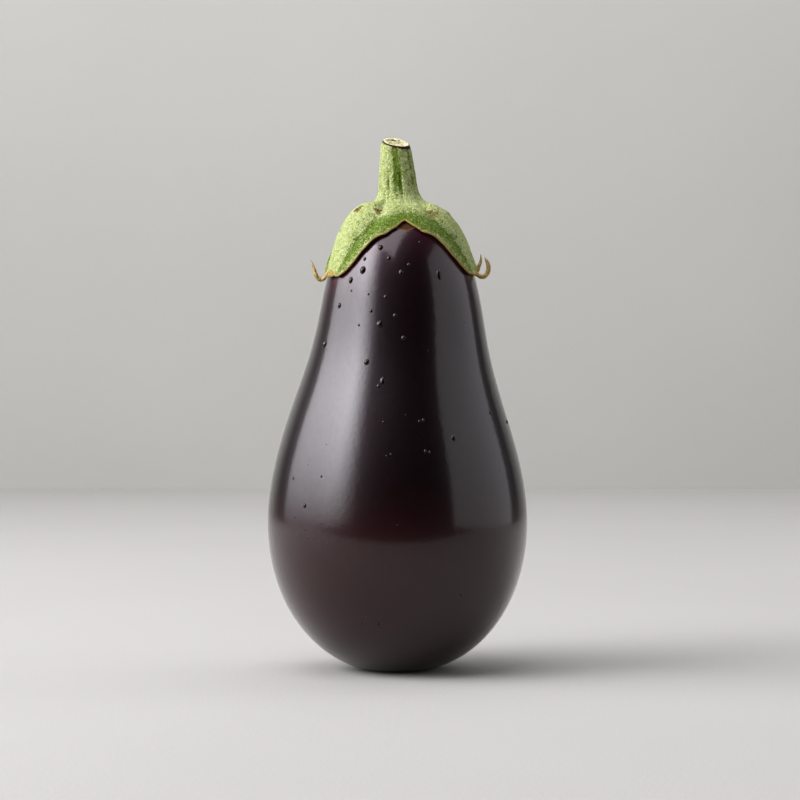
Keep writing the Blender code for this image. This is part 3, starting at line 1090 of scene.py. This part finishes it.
def fray(azimuth, height_mm, rng):
    """One short fibre that leaves the edge of a lobe's tip and bends, by t and t^2 of itself."""
    start = beside_skin(azimuth, 0.9 * MM, height_mm * MM)
    turn = math.radians(azimuth)
    outward = np.array([math.sin(turn), -math.cos(turn), 0.0])
    sideways = np.array([math.cos(turn), math.sin(turn), 0.0])
    length = rng.uniform(1.8, 4.2) * MM
    lean = rng.uniform(-0.9, 0.9)
    rise = rng.uniform(-0.3, 1.2)
    t = np.linspace(0, 1, STRAND_RINGS)[:, None]
    push = outward * (0.30 + 0.25 * t) + sideways * lean * (0.4 + 0.5 * t)
    path = start + length * t * (push + np.array([0, 0, rise]) * (0.3 + 0.7 * t))
    radii = (0.26 * MM * (1 - 0.8 * t[:, 0])) * rng.uniform(0.7, 1.3)
    return swept_tube(path, radii, sideways + 0.3 * outward)


class EGGPLANT_OT_dried_tips(bpy.types.Operator):
    """Makes the dried, curled tips of the lobes and their frayed fibres"""

    bl_idname = "eggplant.dried_tips"
    bl_label = "Dried tips"

    def execute(self, context):
        settings = context.scene.eggplant_green
        rng = np.random.default_rng(FRAY_SEED)
        tubes = [strand(route, seed) for seed, route in enumerate(DRY_STRANDS_MM)]
        for azimuth, height_mm in FRAY_ROOTS_MM:
            for _ in range(FRAY_COUNT):
                spread = azimuth + rng.uniform(-5, 5)
                tubes.append(fray(spread, height_mm + rng.uniform(-0.6, 1.2), rng))
        tubes = np.array(tubes)
        along = np.broadcast_to(np.linspace(0, 1, STRAND_RINGS)[None, :, None], tubes.shape[:3])
        tips = grid_piece("dried_tips", tubes, {"along": along})
        tips.data.materials.append(dried_sepal(settings))
        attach(tips, "root")
        return {"FINISHED"}


# The stem.


SIDE_ROWS, RING_ROWS, PITH_ROWS = 150, 14, 26
STEM_COLUMNS = 300
RING_WIDTH = 1.05 * MM
RIM_ROUNDING = 0.055
SCORCH_WIDTH = 1.1 * MM
BROWN_FADE = 2.5 * MM
CRUMB_WAVES = ((5, 0.004, 1.0), (9, 0.0025, 0.8), (14, 0.0017, 0.6))


def cut_height(places):
    """The height of the slanting cut over each place."""
    x, y = places[..., 0], places[..., 1]
    nx, ny, nz = STEM_CUT_NORMAL
    return STEM_CUT_HEIGHT - (nx * x + ny * y) / nz


class EGGPLANT_OT_stem(bpy.types.Operator):
    """Makes the cut stem, with its ribs, its cream ring and its sunken pith"""

    bl_idname = "eggplant.stem"
    bl_label = "Stem"

    def execute(self, context):
        settings = context.scene.eggplant_green
        azimuth = np.linspace(0, 360, STEM_COLUMNS, endpoint=False)
        top = cut_height(stem_at(azimuth, np.full_like(azimuth, STEM_CUT_HEIGHT)))
        rim = stem_at(azimuth, top)

        # Cut face: from the middle out to the rim, sunken at the pith and domed at the ring.
        middle = rim.mean(axis=0)
        radius = np.linalg.norm(rim[:, :2] - middle[:2], axis=1)
        ring_share = 1 - RING_WIDTH / radius
        pith_t = np.linspace(0.03, 1, PITH_ROWS)[:, None] * ring_share
        ring_t = ring_share + (1 - ring_share) * np.linspace(0, 0.93, RING_ROWS)[:, None]
        share = np.concatenate([pith_t, ring_t])
        face = middle + (rim - middle) * share[..., None]
        face[..., 2] = cut_height(face)
        crumbs = ripple(CRUMB_SEED, azimuth, share * 5 * MM, CRUMB_WAVES)
        hollow = 1 - smooth_step(share, 0.80 * ring_share, 1.04 * ring_share)
        dome = bell(share, (1 + ring_share) / 2, 0.5 * (1 - ring_share))
        face[..., 2] += 0.14 * MM * dome - hollow * (0.55 + 0.25 * crumbs) * MM
        face[..., :2] = middle[:2] + (face[..., :2] - middle[:2]) * (1 - RIM_ROUNDING)

        # Side: straight down from the rim, which is rounded off over half a millimetre.
        t = np.linspace(0, 1, SIDE_ROWS)[:, None] ** 1.25
        height = top + (STEM_FOOT - top) * t
        below = top - height
        side = stem_at(np.broadcast_to(azimuth, height.shape), height)
        axis = side[..., :2].mean(axis=1, keepdims=True)
        shrink = 1 - RIM_ROUNDING * np.exp(-below / (0.35 * MM))
        side[..., :2] = axis + (side[..., :2] - axis) * shrink[..., None]
        places = np.concatenate([face, side])

        ring = smooth_step(share, 0.93 * ring_share, 1.02 * ring_share)
        on_face, on_side = 0 * share, 0 * height
        right = 0.75 + 0.45 * turned_bell(azimuth, 60, 60)
        brown = np.exp(-below / BROWN_FADE)
        scorch = right * np.exp(-((below / (right * SCORCH_WIDTH)) ** 2))
        marks = {
            "furrow": np.concatenate([on_face, stem_green(azimuth, height)]),
            "dry": np.concatenate([on_face, 0.30 * brown]),
            "spot": np.concatenate([on_face, 0.65 * brown]),
            "scorch": np.concatenate([on_face, scorch]),
            "ring": np.concatenate([ring, on_side]),
            "pith": np.concatenate([1 - ring, on_side]),
        }
        stem = grid_piece("stem_stalk", places[None], marks, sharp_angle=75)
        stem.data.materials.append(green_tissue("stem_green_tissue", settings, cut=True))
        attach(stem, "root")
        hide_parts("stem")
        return {"FINISHED"}


# Water.


DROP_RINGS, DROP_STEPS = 12, 20
DROP_HEIGHT = 0.62


def drop_grid(azimuth, height_mm, radius_mm, stretch=1.1):
    """A bead on the skin: a low dome, cos^0.7 high over a round foot, longer down than across.

    Its foot goes a little way under the skin, so that no gap shows.
    """
    t = np.linspace(0.06, 1, DROP_RINGS)[:, None]
    angle = np.linspace(0, 2 * math.pi, DROP_STEPS, endpoint=False)[None, :]
    radius = radius_mm * MM
    reach = reach_at_height(height_mm * MM)
    around_radius = float(np.interp(reach, MERIDIAN_REACH, MERIDIAN[:, 0]))
    down = radius * stretch * t * np.sin(angle) * (1 + 0.12 * np.sin(angle) * (stretch - 1))
    across = -radius * t * np.cos(angle)
    turn = azimuth + np.degrees(across / around_radius)
    dome = DROP_HEIGHT * radius * np.cos(t * math.pi / 2) ** 0.7 - 0.04 * MM
    top = wrap(turn, reach + down, dome + unevenness(turn, reach + down))
    foot = wrap(turn, reach + down, -0.10 * MM + 0 * turn)[::-1]
    return np.concatenate([top, foot])


class EGGPLANT_OT_drops(bpy.types.Operator):
    """Makes the water drops on the skin: placed ones, a fine spray and a cluster at the left"""

    bl_idname = "eggplant.drops"
    bl_label = "Water drops"

    def execute(self, context):
        rng = np.random.default_rng(SPRAY_SEED)
        beads = [
            drop_grid(azimuth, height_mm, DROP_SWELL * radius_mm, stretch)
            for azimuth, height_mm, radius_mm, stretch in DROPS_MM
        ]
        for _ in range(SPRAY_COUNT):
            height_mm = 40 + 100 * rng.beta(1.6, 1.2)
            beads.append(drop_grid(rng.uniform(0, 360), height_mm, rng.uniform(0.10, 0.22)))
        for _ in range(CLUSTER_COUNT):
            azimuth = rng.normal(-39, 4.5)
            beads.append(drop_grid(azimuth, rng.normal(51, 3.2), rng.uniform(0.10, 0.26)))
        beads = np.array(beads)
        # The depth mark runs from 1 in a bead's middle to 0 at its edge and foot. It paints the
        # bead's light and shade.
        depth = np.zeros(beads.shape[:3])
        depth[:, :DROP_RINGS] = np.linspace(1, 0, DROP_RINGS)[:, None]
        drops = grid_piece("water_drops", beads, {"depth": depth})
        drops.data.materials.append(water_on_skin())
        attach(drops, "root")
        return {"FINISHED"}


# The stage.


class EggplantStudioSettings(bpy.types.PropertyGroup):
    """The table, the wall and the light. The lights are given by radiance."""

    table_colour: bpy.props.FloatVectorProperty(
        name="Table", description="Colour of the table", default=linear("#9a9894"), **COLOUR
    )
    wall_colour: bpy.props.FloatVectorProperty(
        name="Wall", description="Colour of the wall", default=linear("#9f9e99"), **COLOUR
    )
    plaster_relief: bpy.props.FloatProperty(
        name="Plaster relief", description="Depth of its grain", unit="LENGTH", default=0.10 * MM
    )
    key_light: bpy.props.FloatProperty(
        name="Key light", description="The large light on the left", default=15.8
    )
    fill_light: bpy.props.FloatProperty(
        name="Fill light", description="The light on the right", default=1.12
    )
    back_light: bpy.props.FloatProperty(
        name="Back light", description="The light over the wall", default=3.5
    )
    top_light: bpy.props.FloatProperty(
        name="Top light", description="The light above the front", default=4.0
    )
    room_light: bpy.props.FloatProperty(
        name="Room", description="The dark room round the stage", default=0.012
    )


def sheet_object(name, corners, material):
    """A flat stage sheet from its four corners, in order."""
    mesh = bpy.data.meshes.new(name)
    mesh.from_pydata(corners, [], [(0, 1, 2, 3)])
    mesh.materials.append(material)
    sheet = bpy.data.objects.new(name, mesh)
    bpy.context.scene.collection.objects.link(sheet)


# An even cloth along one of its axes: (start share, place of the peak, end share).
EVEN = (1.0, 0.5, 1.0)


def cloth_share(tree, place, profile):
    """A light's share of its radiance at a place from 0 to 1 along one of its axes.

    It grows evenly from the start share to 1 at the peak's place, and from there it falls smoothly
    to the end share.
    """
    start, peak, end = profile
    rise = node(tree, "MapRange", {"Value": place, "From Max": peak, "To Min": start})
    inputs = {"Value": place, "From Min": peak, "To Min": 1.0, "To Max": end}
    fall = node(tree, "MapRange", inputs, interpolation_type="SMOOTHSTEP")
    return node(tree, "Math", {0: rise, 1: fall}, operation="MULTIPLY")


def soft_box(name, place, turn, size, radiance, across=EVEN, upward=EVEN):
    """A soft light whose cloth is brightest near the lamp behind it.

    Its power is pi times its area times the radiance at that spot.
    """
    light = bpy.data.lights.new(name, "AREA")
    light.shape = "RECTANGLE"
    light.size, light.size_y = size
    light.energy = math.pi * size[0] * size[1] * radiance
    light.color = (1.0, 1.0, 1.04)
    light.use_nodes = True
    tree = light.node_tree
    spot = node(tree, "NewGeometry", output="Parametric")
    shares = {
        index: cloth_share(tree, node(tree, "SeparateXYZ", {0: spot}, index), profile)
        for index, profile in enumerate((across, upward))
    }
    cloth = node(tree, "Math", shares, operation="MULTIPLY")
    feed(tree.nodes["Emission"], {"Strength": cloth})
    lamp = bpy.data.objects.new(name, light)
    lamp.location = place
    lamp.rotation_euler = turn
    lamp.visible_camera = False
    bpy.context.scene.collection.objects.link(lamp)


def side_box(name, azimuth, distance, size, radiance, across, upward):
    """A soft light that stands on the table's level and faces the fruit's axis."""
    turn = math.radians(azimuth)
    place = (distance * math.sin(turn), -distance * math.cos(turn), 0.005 + size[1] / 2)
    soft_box(name, place, (math.radians(90), 0, turn), size, radiance, across, upward)


# The table's top is a hair under the flat spot, so that no two faces lie on each other.
TABLE_TOP = -0.05 * MM
TABLE_LEFT, TABLE_RIGHT, TABLE_FRONT = -1.30, 0.90, -0.30
WALL_LEFT, WALL_RIGHT, WALL_FOOT, WALL_TOP = -1.64, 1.45, -0.3, 1.7
WALL_PLACE = 1.45
PAST_THE_WALL = 0.58


class EGGPLANT_OT_stage(bpy.types.Operator):
    """Makes the table, the wall, the soft lights and the camera"""

    bl_idname = "eggplant.stage"
    bl_label = "Stage"

    def execute(self, context):
        settings = context.scene.eggplant_studio
        scene = context.scene
        corners = [
            (TABLE_LEFT, TABLE_FRONT, TABLE_TOP),
            (TABLE_RIGHT, TABLE_FRONT, TABLE_TOP),
            (TABLE_RIGHT, WALL_PLACE, TABLE_TOP),
            (TABLE_LEFT, WALL_PLACE, TABLE_TOP),
        ]
        plaster = lime_plaster("table_lime_plaster", settings.table_colour, settings)
        sheet_object("table", corners, plaster)
        corners = [
            (WALL_LEFT, WALL_PLACE, WALL_FOOT),
            (WALL_RIGHT, WALL_PLACE, WALL_FOOT),
            (WALL_RIGHT, WALL_PLACE, WALL_TOP),
            (WALL_LEFT, WALL_PLACE, WALL_TOP),
        ]
        plaster = lime_plaster("wall_lime_plaster", settings.wall_colour, settings)
        sheet_object("wall", corners, plaster)

        side_box(
            "key",
            azimuth=-77,
            distance=1.2,
            size=(1.98, 1.50),
            radiance=settings.key_light,
            across=(0.33, 0.65, 0.04),
            upward=(0.07, 0.6, 0.8),
        )
        side_box(
            "fill",
            azimuth=83.5,
            distance=0.9,
            size=(1.24, 0.95),
            radiance=settings.fill_light,
            across=EVEN,
            upward=(0.8, 0.5, 1.0),
        )
        turn = (math.radians(25), 0, 0)
        soft_box("back", (0.4, 0.80, 1.6), turn, size=(2.6, 1.0), radiance=settings.back_light)
        turn = (math.radians(20), 0, math.radians(-42))
        soft_box("top", (-0.36, -0.40, 1.35), turn, size=(1.1, 1.1), radiance=settings.top_light)

        # The room is dark, and the camera sees the wall's tone where it looks past the wall.
        world = bpy.data.worlds.new("studio")
        world.use_nodes = True
        tree = world.node_tree
        seen = node(tree, "LightPath", output="Is Camera Ray")
        strength = node(tree, "Mix", {0: seen, 2: settings.room_light, 3: PAST_THE_WALL})
        inputs = {"Color": (1.0, 0.99, 0.97, 1.0), "Strength": strength}
        feed(tree.nodes["Background"], inputs)
        scene.world = world
        scene.view_settings.view_transform = "Standard"

        camera = bpy.data.objects.new("camera", bpy.data.cameras.new("camera"))
        camera.data.lens = LENS_MM
        camera.location = CAMERA_PLACE
        camera.rotation_euler = (math.radians(90 - CAMERA_DIP), 0, 0)
        scene.collection.objects.link(camera)
        scene.camera = camera
        return {"FINISHED"}


class EGGPLANT_PT_panel(bpy.types.Panel):
    """Lists the steps in the order in which they run"""

    bl_idname = "EGGPLANT_PT_panel"
    bl_label = "Eggplant"
    bl_space_type = "VIEW_3D"
    bl_region_type = "UI"
    bl_category = "Eggplant"

    def draw(self, context):
        for operator in OPERATORS:
            self.layout.operator(operator.bl_idname)
        for group in GROUPS:
            settings = getattr(context.scene, group)
            for name in settings.__annotations__:
                self.layout.prop(settings, name)


GROUPS = {
    "eggplant_fruit": EggplantFruitSettings,
    "eggplant_green": EggplantGreenSettings,
    "eggplant_studio": EggplantStudioSettings,
}
OPERATORS = (
    EGGPLANT_OT_fruit,
    EGGPLANT_OT_calyx,
    EGGPLANT_OT_sinus_scars,
    EGGPLANT_OT_dried_tips,
    EGGPLANT_OT_stem,
    EGGPLANT_OT_drops,
    EGGPLANT_OT_stage,
)


def register():
    for cls in (*GROUPS.values(), *OPERATORS, EGGPLANT_PT_panel):
        bpy.utils.register_class(cls)
    for name, group in GROUPS.items():
        setattr(bpy.types.Scene, name, bpy.props.PointerProperty(type=group))


def unregister():
    for name in GROUPS:
        delattr(bpy.types.Scene, name)
    for cls in (EGGPLANT_PT_panel, *reversed(OPERATORS), *GROUPS.values()):
        bpy.utils.unregister_class(cls)


def main():
    """Makes everything."""
    register()
    for operator in OPERATORS:
        group, name = operator.bl_idname.split(".")
        getattr(getattr(bpy.ops, group), name)()


if __name__ == "__main__":
    main()
